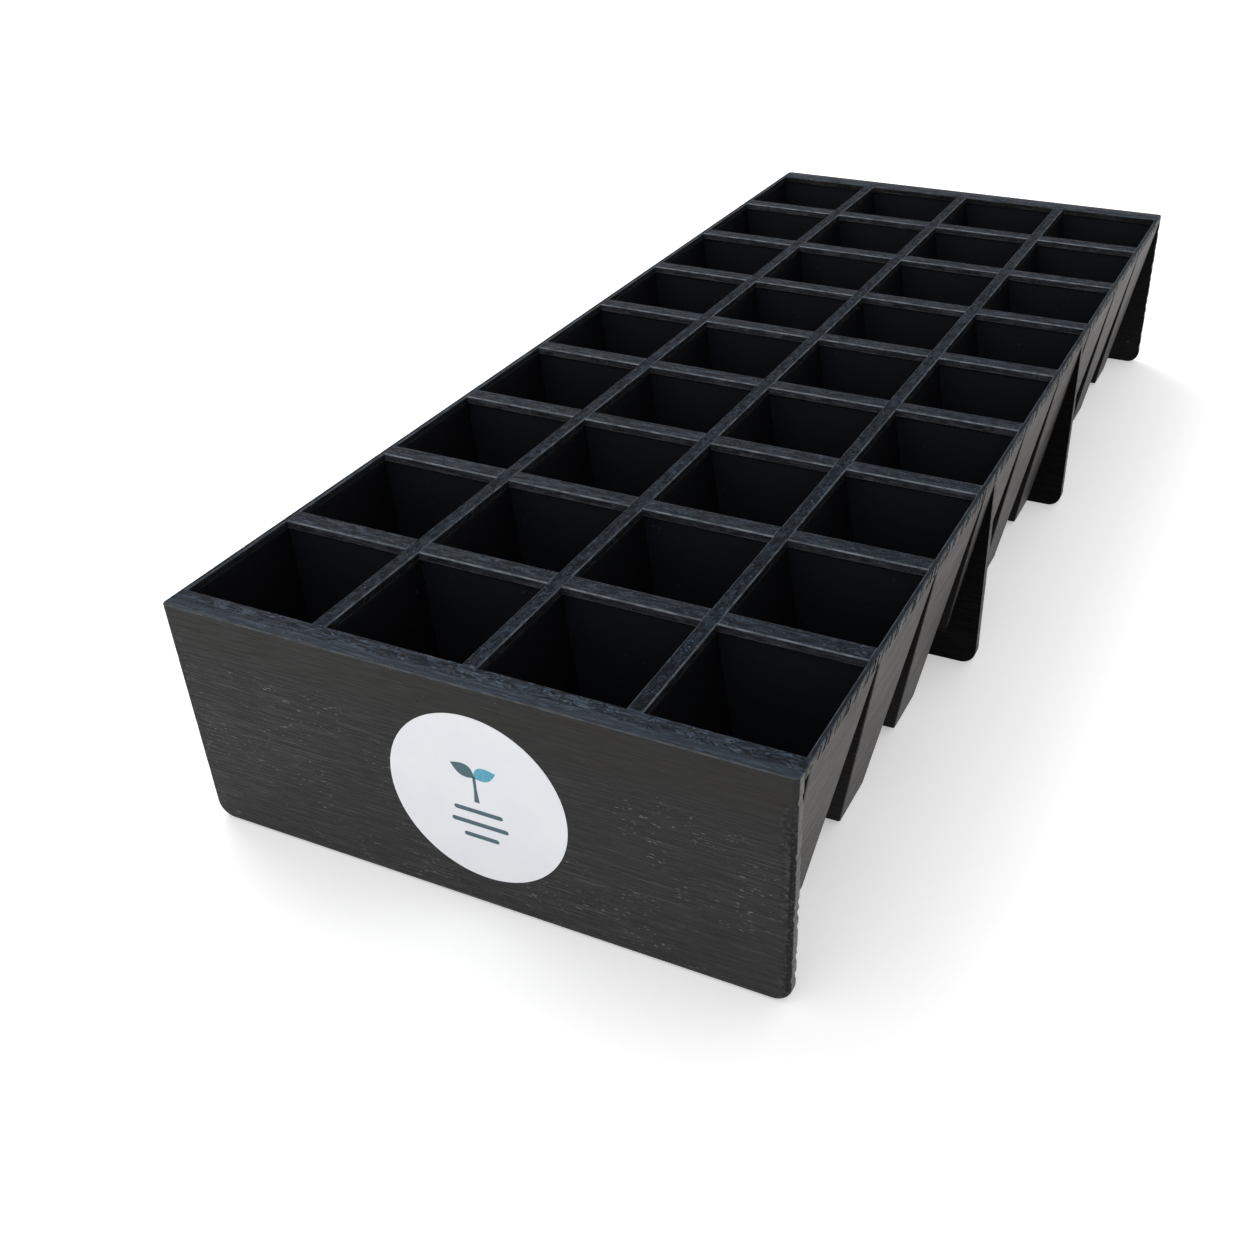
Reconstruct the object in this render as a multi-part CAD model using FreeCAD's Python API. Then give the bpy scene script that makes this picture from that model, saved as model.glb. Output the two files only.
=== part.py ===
import FreeCAD, Part
import math
import os
from FreeCAD import Vector

# Plug tray: a shallow open grid of ribs carries tapered square cell cups, and full-height
# plates across both ends and under the middle hold the tray off the ground.
# Frame: millimetres, +Z up, X across the tray, Y along it from front to back.
# The origin is at the middle of the footprint, on the ground.

# --- Overall layout ---
columns = 4
rows = 9
cell_pitch = 57.0          # both ways, between rib centre lines
tray_height = 88.5         # ground to the top of the grid

# --- Top grid ---
grid_depth = 3.0
long_rib_width = 5.5
cross_rib_width = 7.5
side_rail_width = 2.0
end_rail_overhang = 2.75   # end rail's outer face, out from the end pitch line
end_rail_inset = 3.5       # opening edge of an end cell, in from the end pitch line
opening_chamfer = 0.4
seam_chamfer = 0.3         # where an end plate meets its rail, and along the outer edges
saw_nick_spacing = 4.0     # slanting nicks down the outer faces of the side rails
saw_nick_width = 1.7
saw_nick_depth = 0.55
saw_nick_slant = 3.0       # how far a nick moves along the rail over the rail's depth

# --- Cell cups ---
cup_gap_across = 2.0       # clear air between neighbouring cups, at the top
cup_gap_along = 2.7
cup_wall = 1.2
cup_floor = 1.6
cup_edge_radius = 0.8
cup_foot_across = 18.5     # outside size at the bottom
cup_foot_along = 23.5
cup_ground_clearance = 2.0
rebate_width = 0.6         # step inside the rim, which leaves a shadow line under the grid
rebate_depth = 1.2
drain_radius = 4.5

# --- Upright plates ---
plate_thickness = 4.0
plate_foot_taper = 3.0     # each side edge leans in by this much at the ground
plate_foot_radius = 6.5
plate_corner_radius = 2.0  # outer upright edges of the end plates
middle_plate_rib = 3       # a middle plate stands past this cross rib, counted from its end
middle_setback_front = 16.5   # from that rib's centre line, towards the tray's middle
middle_setback_back = 12.0
seat_clearance = 0.15      # all round a cup where it sits in a middle plate
nick_radius = 4.0          # rough side edges of the end plates
nick_spacing = 6.3
left_nick_depth = 0.9
right_nick_depth = 0.3
nick_variation = 0.35      # share by which one nick is deeper or shallower than the usual one

# --- Round label ---
label_radius = 32.5
label_thickness = 0.25
label_across = 4.0         # centre, to the right of the tray's centre line
label_height = 45.0        # centre, above the ground

# --- Worked out from the sizes above ---
half_width = (columns * cell_pitch - cup_gap_across) / 2
half_inside = half_width - side_rail_width
half_grid = rows * cell_pitch / 2 + end_rail_overhang
half_inside_length = rows * cell_pitch / 2 - end_rail_inset
grid_bottom = tray_height - grid_depth
lap_height = tray_height - grid_depth / 2
cup_top_across = cell_pitch - cup_gap_across
cup_top_along = cell_pitch - cup_gap_along
cup_height = grid_bottom - cup_ground_clearance
reach = 1.0                # how far a cutting tool runs past what it cuts
margin = 0.01              # for telling edges apart by their place


def column_line(index):
    """X of the pitch line on the left of a column, counted from 0."""
    return (index - columns / 2) * cell_pitch


def row_line(index):
    """Y of the pitch line in front of a row, counted from 0."""
    return (index - rows / 2) * cell_pitch


def box(x0, x1, y0, y1, z0, z1):
    """Block between two corners."""
    return Part.makeBox(x1 - x0, y1 - y0, z1 - z0, Vector(x0, y0, z0))


def frustum(low, high, z_low, z_high):
    """Four-sided block between two level rectangles, each given as x0, x1, y0, y1."""
    def corners(rect, z):
        x0, x1, y0, y1 = rect
        return [Vector(x0, y0, z), Vector(x1, y0, z), Vector(x1, y1, z), Vector(x0, y1, z)]

    def face(points):
        return Part.Face(Part.makePolygon(points + [points[0]]))

    bottom = corners(low, z_low)
    top = corners(high, z_high)
    faces = [face(bottom[::-1]), face(top)]
    for index in range(4):
        following = (index + 1) % 4
        faces.append(face([bottom[index], bottom[following], top[following], top[index]]))
    return Part.makeSolid(Part.makeShell(faces))


def opening(column, row):
    """Clear rectangle of one cell in the grid, as x0, x1, y0, y1."""
    x0 = column_line(column) + long_rib_width / 2
    x1 = column_line(column + 1) - long_rib_width / 2
    y0 = row_line(row) + cross_rib_width / 2
    y1 = row_line(row + 1) - cross_rib_width / 2
    if column == 0:
        x0 = -half_inside
    if column == columns - 1:
        x1 = half_inside
    if row == 0:
        y0 = -half_inside_length
    if row == rows - 1:
        y1 = half_inside_length
    return x0, x1, y0, y1


def grown(rect, amount):
    """Rectangle made larger by the same amount on every side."""
    x0, x1, y0, y1 = rect
    return x0 - amount, x1 + amount, y0 - amount, y1 + amount


def ease_openings(bar, cells):
    """Break the bar's top edges round each of the cells it borders."""
    for column, row in cells:
        rect = opening(column, row)
        low = grown(rect, 0.0)
        high = grown(rect, opening_chamfer + reach)
        bar = bar.cut(frustum(low, high, tray_height - opening_chamfer, tray_height + reach))
    return bar


def ease_edges(shape, amount, chosen):
    """Break the edges whose midpoint the given test accepts."""
    edges = [edge for edge in shape.Edges if chosen(edge.CenterOfMass)]
    return shape.makeChamfer(amount, edges)


def long_rib(index):
    """Rib along the tray; each crossing takes away its lower half."""
    x = column_line(index)
    bar = box(x - long_rib_width / 2, x + long_rib_width / 2,
              -half_inside_length, half_inside_length, grid_bottom, tray_height)
    for crossing in range(1, rows):
        y = row_line(crossing)
        bar = bar.cut(box(x - long_rib_width, x + long_rib_width,
                          y - cross_rib_width / 2, y + cross_rib_width / 2,
                          grid_bottom - reach, lap_height))
    return ease_openings(bar, [(c, r) for c in (index - 1, index) for r in range(rows)])


def cross_rib(index):
    """Rib across the tray; each crossing takes away its upper half."""
    y = row_line(index)
    bar = box(-half_inside, half_inside, y - cross_rib_width / 2, y + cross_rib_width / 2,
              grid_bottom, tray_height)
    for crossing in range(1, columns):
        x = column_line(crossing)
        bar = bar.cut(box(x - long_rib_width / 2, x + long_rib_width / 2,
                          y - cross_rib_width, y + cross_rib_width,
                          lap_height, tray_height + reach))
    return ease_openings(bar, [(c, r) for c in range(columns) for r in (index - 1, index)])


def saw_nicks(side):
    """Wedges that cut the nicks down a side rail's outer face, unevenly spaced and deep."""
    outer = side * half_width
    rise = grid_depth + 2 * reach
    drift = saw_nick_slant * rise / grid_depth
    wedges = []
    for index in range(int((2 * half_inside_length - drift) / saw_nick_spacing)):
        y = -half_inside_length + (index + 0.5 + 0.25 * math.sin(index * 2.9)) * saw_nick_spacing
        tip = outer - side * saw_nick_depth * (0.7 + 0.3 * math.sin(index * 1.3))
        wide = outer + side * reach
        spread = saw_nick_width / 2 * (reach + saw_nick_depth) / saw_nick_depth
        corners = [Vector(wide, y - spread, grid_bottom - reach),
                   Vector(wide, y + spread, grid_bottom - reach),
                   Vector(tip, y, grid_bottom - reach)]
        wedge = Part.Face(Part.makePolygon(corners + [corners[0]]))
        wedges.append(wedge.extrude(Vector(0, drift, rise)))
    return wedges


def side_rail(side):
    """Thin rail down one side of the grid; side is -1 for left and 1 for right."""
    inner = side * half_inside
    outer = side * half_width
    bar = box(min(inner, outer), max(inner, outer),
              -half_inside_length, half_inside_length, grid_bottom, tray_height)
    bar = ease_edges(bar, seam_chamfer, lambda at: at.z > tray_height - margin
                     and abs(at.x - outer) < margin)
    bar = bar.cut(saw_nicks(side))
    column = 0 if side < 0 else columns - 1
    return ease_openings(bar, [(column, r) for r in range(rows)])


def end_rail(end):
    """Wider rail across one end of the grid; end is -1 for front and 1 for back."""
    inner = end * half_inside_length
    outer = end * half_grid
    bar = box(-half_width, half_width, min(inner, outer), max(inner, outer),
              grid_bottom, tray_height)
    bar = ease_edges(bar, seam_chamfer, lambda at: at.z > tray_height - margin
                     and (abs(at.y - outer) < margin or abs(at.x) > half_width - margin))
    row = 0 if end < 0 else rows - 1
    return ease_openings(bar, [(c, row) for c in range(columns)])


def cup_outside(height):
    """Outside size of a cup, across and along, at a height above the ground."""
    share = (height - cup_ground_clearance) / cup_height
    across = cup_foot_across + (cup_top_across - cup_foot_across) * share
    along = cup_foot_along + (cup_top_along - cup_foot_along) * share
    return across, along


def cup_section(column, row, height, inset):
    """Level rectangle through a cup at a height, drawn in from its outside."""
    across, along = cup_outside(height)
    x = column_line(column + 0.5)
    y = row_line(row + 0.5)
    return grown((x - across / 2, x + across / 2, y - along / 2, y + along / 2), -inset)


def cup_block(column, row, inset, z_low, z_high):
    """Solid block with a cup's taper, drawn in from its outside."""
    return frustum(cup_section(column, row, z_low, inset),
                   cup_section(column, row, z_high, inset), z_low, z_high)


def cup(column, row):
    """Tapered square cup with a stepped rim and a drain hole in its floor."""
    inside_bottom = cup_ground_clearance + cup_floor
    body = cup_block(column, row, 0.0, cup_ground_clearance, grid_bottom)
    slanted = [edge for edge in body.Edges if edge.BoundBox.ZLength > cup_height / 2]
    body = body.makeFillet(cup_edge_radius, slanted)
    body = body.cut(cup_block(column, row, cup_wall, inside_bottom, grid_bottom + reach))
    rebate_inset = cup_wall - rebate_width
    rebate = cup_block(column, row, rebate_inset, grid_bottom - rebate_depth, grid_bottom + reach)
    body = body.cut(rebate)
    centre = Vector(column_line(column + 0.5), row_line(row + 0.5), cup_ground_clearance - reach)
    return body.cut(Part.makeCylinder(drain_radius, cup_floor + 2 * reach, centre))


def plate_blank(y0, y1, top):
    """Upright plate with leaning side edges and round foot corners."""
    lean = plate_foot_taper / tray_height
    top_half = half_width - lean * (tray_height - top)
    foot_half = half_width - plate_foot_taper
    outline = [Vector(-foot_half, y0, 0), Vector(foot_half, y0, 0),
               Vector(top_half, y0, top), Vector(-top_half, y0, top)]
    blank = Part.Face(Part.makePolygon(outline + [outline[0]])).extrude(Vector(0, y1 - y0, 0))
    feet = [edge for edge in blank.Edges
            if max(vertex.Z for vertex in edge.Vertexes) < reach
            and abs(edge.Vertexes[0].X - edge.Vertexes[1].X) < reach]
    return blank.makeFillet(plate_foot_radius, feet)


def side_edge(height):
    """Half-width of a plate at a height above the ground."""
    return half_width - plate_foot_taper * (1 - height / tray_height)


def end_plate(end):
    """Plate across one end, flush with the top of the grid, with rough side edges."""
    inner = end * half_grid
    outer = end * (half_grid + plate_thickness)
    plate = plate_blank(min(inner, outer), max(inner, outer), tray_height)
    uprights = [edge for edge in plate.Edges
                if abs(edge.BoundBox.ZLength - (tray_height - plate_foot_radius)) < 2 * reach
                and abs(edge.CenterOfMass.y - outer) < reach]
    plate = plate.makeFillet(plate_corner_radius, uprights)
    plate = ease_edges(plate, seam_chamfer, lambda at: at.z > tray_height - margin)
    count = int((grid_bottom - plate_foot_radius) / nick_spacing)
    for side, usual_depth in ((-1, left_nick_depth), (1, right_nick_depth)):
        for index in range(count):
            height = plate_foot_radius + (index + 0.5 + 0.3 * math.sin(index * 2.3)) * nick_spacing
            depth = usual_depth * (1 + nick_variation * math.sin(index * 1.7 + side))
            x = side * (side_edge(height) + nick_radius - depth)
            start = Vector(x, min(inner, outer) - reach, height)
            length = plate_thickness + 2 * reach
            plate = plate.cut(Part.makeCylinder(nick_radius, length, start, Vector(0, 1, 0)))
    return plate


def middle_plate(side, setback):
    """Plate under the tray, notched to let one row of cups down through it."""
    centre = side * (row_line(rows - middle_plate_rib) - setback)
    y0 = centre - plate_thickness / 2
    y1 = centre + plate_thickness / 2
    plate = plate_blank(y0, y1, grid_bottom)
    row = int(math.floor(centre / cell_pitch + rows / 2))
    for column in range(columns):
        low = cup_section(column, row, cup_ground_clearance, -seat_clearance)
        high = cup_section(column, row, grid_bottom + reach, -seat_clearance)
        drop = seat_clearance
        plate = plate.cut(frustum(low, high, cup_ground_clearance - drop, grid_bottom + reach))
    return plate


def round_label():
    """Thin disc stuck on the outside of the front plate."""
    centre = Vector(label_across, -half_grid - plate_thickness, label_height)
    return Part.makeCylinder(label_radius, label_thickness, centre, Vector(0, -1, 0))


def export(shape, name):
    """Write one piece to its own file."""
    shape.exportStep(f"parts/{name}.step")


def main():
    """Build every piece of the tray."""
    os.makedirs("parts", exist_ok=True)
    export(end_plate(-1), "front_plate")
    export(end_plate(1), "back_plate")
    export(middle_plate(-1, middle_setback_front), "middle_plate_front")
    export(middle_plate(1, middle_setback_back), "middle_plate_back")
    export(end_rail(-1), "front_rail")
    export(end_rail(1), "back_rail")
    export(side_rail(-1), "left_rail")
    export(side_rail(1), "right_rail")
    for index in range(1, columns):
        export(long_rib(index), f"long_rib_{index}")
    for index in range(1, rows):
        export(cross_rib(index), f"cross_rib_{index}")
    for row in range(rows):
        for column in range(columns):
            export(cup(column, row), f"cup_row{row + 1}_column{column + 1}")
    export(round_label(), "round_label")


main()
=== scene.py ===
"""Plug tray: finishes, printed label, floor, light and camera, built round its fixed frame."""

import logging
import math
from dataclasses import dataclass, field
from enum import Enum

import bmesh
import bpy
from mathutils import Matrix, Vector


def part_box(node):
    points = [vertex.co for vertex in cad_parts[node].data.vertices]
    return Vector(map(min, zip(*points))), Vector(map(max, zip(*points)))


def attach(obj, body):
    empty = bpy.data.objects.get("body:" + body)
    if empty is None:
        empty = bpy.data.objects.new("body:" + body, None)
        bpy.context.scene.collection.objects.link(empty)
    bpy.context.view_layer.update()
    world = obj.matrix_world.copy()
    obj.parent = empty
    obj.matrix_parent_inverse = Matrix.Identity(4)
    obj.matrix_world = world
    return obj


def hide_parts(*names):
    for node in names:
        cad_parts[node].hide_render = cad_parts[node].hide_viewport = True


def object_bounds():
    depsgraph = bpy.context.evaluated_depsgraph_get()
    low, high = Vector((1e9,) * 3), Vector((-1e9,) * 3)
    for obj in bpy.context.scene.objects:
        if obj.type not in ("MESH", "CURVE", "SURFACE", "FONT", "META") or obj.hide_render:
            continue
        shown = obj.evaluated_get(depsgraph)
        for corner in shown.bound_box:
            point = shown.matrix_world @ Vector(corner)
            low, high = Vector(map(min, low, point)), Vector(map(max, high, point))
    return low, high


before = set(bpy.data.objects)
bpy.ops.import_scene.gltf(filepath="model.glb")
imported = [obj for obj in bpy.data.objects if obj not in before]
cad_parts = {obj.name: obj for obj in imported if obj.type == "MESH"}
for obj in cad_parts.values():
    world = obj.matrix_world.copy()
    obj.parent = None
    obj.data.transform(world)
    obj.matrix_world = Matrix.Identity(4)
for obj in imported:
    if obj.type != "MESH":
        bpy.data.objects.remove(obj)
CAD_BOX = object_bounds()

LOG = logging.getLogger("plug_tray")
MM = 0.001
BODY = "root"

Colour = tuple[float, float, float]
Socket = bpy.types.NodeSocket
Outputs = bpy.types.NodeOutputs


class Run(Enum):
    """Which way the saw or brush ran over a piece."""

    ACROSS = "across the tray"
    ALONG = "along the tray"
    AROUND = "level round every wall"


class Slot(Enum):
    """The record's material slots."""

    PLATES = "plates"
    GRID = "grid"
    CUPS = "cups"
    LABEL = "label"


# ---------------------------------------------------------------------------------------------
# Wiring: one small class that adds and joins shader nodes
# ---------------------------------------------------------------------------------------------


class Wiring:
    """Adds shader nodes to one tree and joins them."""

    def __init__(self, tree: bpy.types.NodeTree) -> None:
        """Keep the tree to work on.

        Args:
            tree: The node tree of a material or of a node group.
        """
        self.tree = tree

    def add(self, kind: str, **settings: object) -> bpy.types.Node:
        """Add a node.

        Args:
            kind: The node's type name, without the leading "ShaderNode".
            **settings: Values for the node's own properties.

        Returns:
            The new node.
        """
        node = self.tree.nodes.new("ShaderNode" + kind)
        for name, value in settings.items():
            setattr(node, name, value)
        return node

    def feed(self, socket: Socket, value: object) -> None:
        """Join an output to an input, or set the input's own value.

        Args:
            socket: The input to feed.
            value: Another node's output, a number, a vector or a colour.
        """
        if isinstance(value, bpy.types.NodeSocket):
            self.tree.links.new(value, socket)
        elif isinstance(value, tuple) and socket.type == "RGBA":
            socket.default_value = (*value, 1.0)
        else:
            socket.default_value = value

    def math(self, operation: str, *values: object, clamp: bool = False) -> Socket:
        """Combine numbers.

        Args:
            operation: The Math node's operation.
            *values: Its inputs, in order.
            clamp: Whether the result is held between 0 and 1.

        Returns:
            The result.
        """
        node = self.add("Math", operation=operation, use_clamp=clamp)
        for socket, value in zip(node.inputs, values):
            self.feed(socket, value)
        return node.outputs[0]

    def vector(self, operation: str, *values: object, factor: float = 1.0) -> Socket:
        """Combine vectors.

        Args:
            operation: The Vector Math node's operation.
            *values: Its inputs, in order.
            factor: How much a SCALE multiplies by.

        Returns:
            The vector that comes out, or the number for a dot product.
        """
        node = self.add("VectorMath", operation=operation)
        self.feed(node.inputs[3], factor)
        for socket, value in zip(node.inputs, values):
            self.feed(socket, value)
        return node.outputs["Value" if operation == "DOT_PRODUCT" else "Vector"]

    def remap(self, value: object, low: float, high: float,
              to_low: float = 0.0, to_high: float = 1.0) -> Socket:
        """Spread a number from one range over another, smoothly and without overshoot.

        Args:
            value: The number to spread.
            low: Where the first range starts.
            high: Where the first range ends.
            to_low: What the start becomes.
            to_high: What the end becomes.

        Returns:
            The number in the new range.
        """
        node = self.add("MapRange", interpolation_type="SMOOTHSTEP")
        for name, number in (("Value", value), ("From Min", low), ("From Max", high),
                             ("To Min", to_low), ("To Max", to_high)):
            self.feed(node.inputs[name], number)
        return node.outputs["Result"]

    def blend(self, share: object, first: object, second: object) -> Socket:
        """Mix two colours.

        Args:
            share: How much of the second colour shows, from 0 to 1.
            first: The first colour.
            second: The second colour.

        Returns:
            The mixed colour.
        """
        node = self.add("Mix", data_type="RGBA", clamp_factor=True)
        self.feed(node.inputs[0], share)
        self.feed(node.inputs[6], first)
        self.feed(node.inputs[7], second)
        return node.outputs[2]

    def split(self, vector: Socket) -> tuple[Socket, Socket, Socket]:
        """Take a vector apart into its three numbers."""
        node = self.add("SeparateXYZ")
        self.feed(node.inputs[0], vector)
        return node.outputs[0], node.outputs[1], node.outputs[2]

    def blend_vectors(self, share: object, first: object, second: object) -> Socket:
        """Mix two vectors; share is how much of the second shows."""
        node = self.add("Mix", data_type="VECTOR")
        self.feed(node.inputs[0], share)
        self.feed(node.inputs[4], first)
        self.feed(node.inputs[5], second)
        return node.outputs[1]

    def noise(self, vector: object, scale: float, detail: float = 3.0, roughness: float = 0.55,
              distortion: float = 0.0) -> Socket:
        """Cloudy noise.

        Args:
            vector: Where it is read.
            scale: Features for each unit of the vector.
            detail: Layers of finer noise.
            roughness: Strength of each finer layer against the last.
            distortion: How far the pattern is pushed about.

        Returns:
            The noise, mostly between 0 and 1.
        """
        node = self.add("TexNoise")
        for name, value in (("Vector", vector), ("Scale", scale), ("Detail", detail),
                            ("Roughness", roughness), ("Distortion", distortion)):
            self.feed(node.inputs[name], value)
        return node.outputs[0]

    def place(self, group: bpy.types.NodeTree, **values: object) -> Outputs:
        """Place a node group.

        Args:
            group: The group to place.
            **values: What feeds its inputs, by name, with _ for a space.

        Returns:
            The group node's outputs, which are found by name.
        """
        node = self.add("Group", node_tree=group)
        for name, value in values.items():
            self.feed(node.inputs[name.replace("_", " ")], value)
        return node.outputs


# ---------------------------------------------------------------------------------------------
# Shared effects, each a node group that is built once
# ---------------------------------------------------------------------------------------------


class Effect:
    """A shared look, kept as one node group with named inputs and outputs."""

    title = ""
    inputs: tuple[tuple[str, str], ...] = ()
    outputs: tuple[tuple[str, str], ...] = ()

    def __init__(self) -> None:
        """Build the group."""
        self.group = bpy.data.node_groups.new(self.title, "ShaderNodeTree")
        for name, kind in self.inputs:
            self.group.interface.new_socket(name, in_out="INPUT", socket_type="NodeSocket" + kind)
        for name, kind in self.outputs:
            self.group.interface.new_socket(name, in_out="OUTPUT", socket_type="NodeSocket" + kind)
        self.source = self.group.nodes.new("NodeGroupInput").outputs
        self.result = self.group.nodes.new("NodeGroupOutput").inputs
        self.build(Wiring(self.group))

    def build(self, wiring: Wiring) -> None:
        """Add the group's nodes; each effect has its own."""
        raise NotImplementedError


class SawnGrain(Effect):
    """Streaks, scratches, crinkled veins and creases, and dark dashes that follow the saw. The
    veins carry a painted highlight on their ridges, and the creases painted shade beside them.

    Coordinates come already stretched, so that one unit is one streak long and one streak wide.
    """

    title = "sawn grain"
    inputs = (("Coordinates", "Vector"),)
    outputs = (("Streak", "Float"), ("Scratch", "Float"), ("Vein", "Float"), ("Crease", "Float"),
               ("Patch", "Float"), ("Dash", "Float"))

    def build(self, wiring: Wiring) -> None:
        """Add noise at five scales and spread each between 0 and 1."""
        place = self.source["Coordinates"]
        streak = wiring.noise(place, 1.0, 4.0, 0.62)
        wiring.feed(self.result["Streak"], wiring.remap(streak, 0.38, 0.62))
        line = wiring.noise(wiring.vector("MULTIPLY", place, (0.6, 1.3, 1.3)), 1.0, 1.0, 0.5)
        whole = wiring.noise(wiring.vector("MULTIPLY", place, (0.6, 0.12, 0.12)), 1.0, 2.0, 0.5)
        wiring.feed(self.result["Scratch"],
                    wiring.math("MULTIPLY", wiring.remap(line, 0.60, 0.67),
                                wiring.remap(whole, 0.45, 0.60, 0.2, 1.0)))
        bent = wiring.noise(wiring.vector("MULTIPLY", place, (0.9, 0.36, 0.36)), 1.0, 2.0, 0.5,
                            distortion=0.7)
        level = wiring.math("PINGPONG", wiring.math("MULTIPLY", bent, 16.0), 1.0)
        broken = wiring.noise(wiring.vector("MULTIPLY", place, (1.6, 0.8, 0.8)), 1.0, 2.0, 0.5)
        vein = wiring.math("MULTIPLY", wiring.remap(level, 0.62, 0.92),
                           wiring.remap(broken, 0.47, 0.58))
        wiring.feed(self.result["Vein"], vein)
        # painted shade along the dark crease beside each vein
        wiring.feed(self.result["Crease"], wiring.remap(level, 0.35, 0.10))
        patch = wiring.noise(wiring.vector("MULTIPLY", place, (0.55, 0.5, 0.5)), 1.0, 3.0, 0.55)
        wiring.feed(self.result["Patch"], wiring.remap(patch, 0.50, 0.62))
        moved = wiring.vector("ADD", place, (31.7, 12.4, 5.9))
        dash = wiring.noise(wiring.vector("MULTIPLY", moved, (0.8, 0.75, 0.75)), 1.0, 2.0, 0.5)
        wiring.feed(self.result["Dash"], wiring.remap(dash, 0.60, 0.68))


class WornHighlitEdge(Effect):
    """Finds the edges of a piece and breaks them up, as rubbing does; the paler colour laid on them
    is partly wear and partly a painted highlight.
    """

    title = "worn edge"
    inputs = (("Coordinates", "Vector"), ("Width", "Float"), ("Breaks", "Float"),
              ("Eased", "Float"))
    outputs = (("Mask", "Float"),)

    def build(self, wiring: Wiring) -> None:
        """Compare the rounded normal with the true one, and add the eased edges."""
        bevel = wiring.add("Bevel", samples=4)
        wiring.feed(bevel.inputs["Radius"], self.source["Width"])
        true_normal = wiring.add("NewGeometry").outputs["Normal"]
        alike = wiring.vector("DOT_PRODUCT", bevel.outputs[0], true_normal)
        edge = wiring.remap(alike, 0.985, 0.86)
        edge = wiring.math("MAXIMUM", wiring.math("MULTIPLY", edge, 0.7), self.source["Eased"])
        breaks = wiring.noise(self.source["Coordinates"], self.source["Breaks"], 3.0, 0.6)
        kept = wiring.remap(breaks, 0.38, 0.62, 0.45, 1.0)
        wiring.feed(self.result["Mask"], wiring.math("MULTIPLY", edge, kept, clamp=True))


class Flecks(Effect):
    """Scattered light specks, and pits that are painted dark as shade."""

    title = "flecks"
    inputs = (("Coordinates", "Vector"), ("Spacing", "Float"), ("Amount", "Float"))
    outputs = (("Speck", "Float"), ("Pit", "Float"))

    def build(self, wiring: Wiring) -> None:
        """Keep some of the cells of two Voronoi patterns."""
        scale = wiring.math("DIVIDE", 1.0, self.source["Spacing"])
        for name, shift in (("Speck", 0.0), ("Pit", 7.3)):
            place = wiring.vector("ADD", self.source["Coordinates"], (shift, shift, shift))
            cells = wiring.add("TexVoronoi", feature="F1")
            wiring.feed(cells.inputs["Vector"], place)
            wiring.feed(cells.inputs["Scale"], scale)
            chance = wiring.add("SeparateColor")
            wiring.feed(chance.inputs[0], cells.outputs["Color"])
            chosen = wiring.math("LESS_THAN", chance.outputs[0], self.source["Amount"])
            reach = wiring.math("MULTIPLY_ADD", chance.outputs[1], 0.12, 0.06)
            near = wiring.math("LESS_THAN", cells.outputs["Distance"], reach)
            wiring.feed(self.result[name], wiring.math("MULTIPLY", near, chosen))


# ---------------------------------------------------------------------------------------------
# Finishes
# ---------------------------------------------------------------------------------------------


@dataclass(frozen=True)
class Effects:
    """The shared effects, built once."""

    grain: SawnGrain = field(default_factory=SawnGrain)
    edge: WornHighlitEdge = field(default_factory=WornHighlitEdge)
    flecks: Flecks = field(default_factory=Flecks)


class Surface:
    """What a finish knows about the point that it colours, each as a node output."""

    def __init__(self, wiring: Wiring) -> None:
        """Read the place and tell which way the face looks.

        Args:
            wiring: The material's wiring.
        """
        self.place = wiring.add("TexCoord").outputs["Object"]
        self.normal = wiring.add("NewGeometry").outputs["True Normal"]
        self.x, self.y, self.z = wiring.split(self.place)
        self.across, self.along, up = wiring.split(self.normal)
        self.upward = wiring.remap(up, 0.35, 0.5)
        self.eased = wiring.math("MULTIPLY", wiring.remap(up, 0.5, 0.6),
                                 wiring.remap(up, 0.9, 0.8))
        self.turned = wiring.math("ABSOLUTE", self.along)
        self.sideways = wiring.remap(wiring.math("ABSOLUTE", self.across), 0.5, 0.75)
        self.endways = wiring.remap(self.turned, 0.5, 0.75)
        self.outer = wiring.math("GREATER_THAN", wiring.math("MULTIPLY", self.x, self.across), 0.0)
        self.inner_end = wiring.math("LESS_THAN", wiring.math("MULTIPLY", self.y, self.along), 0.0)


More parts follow.
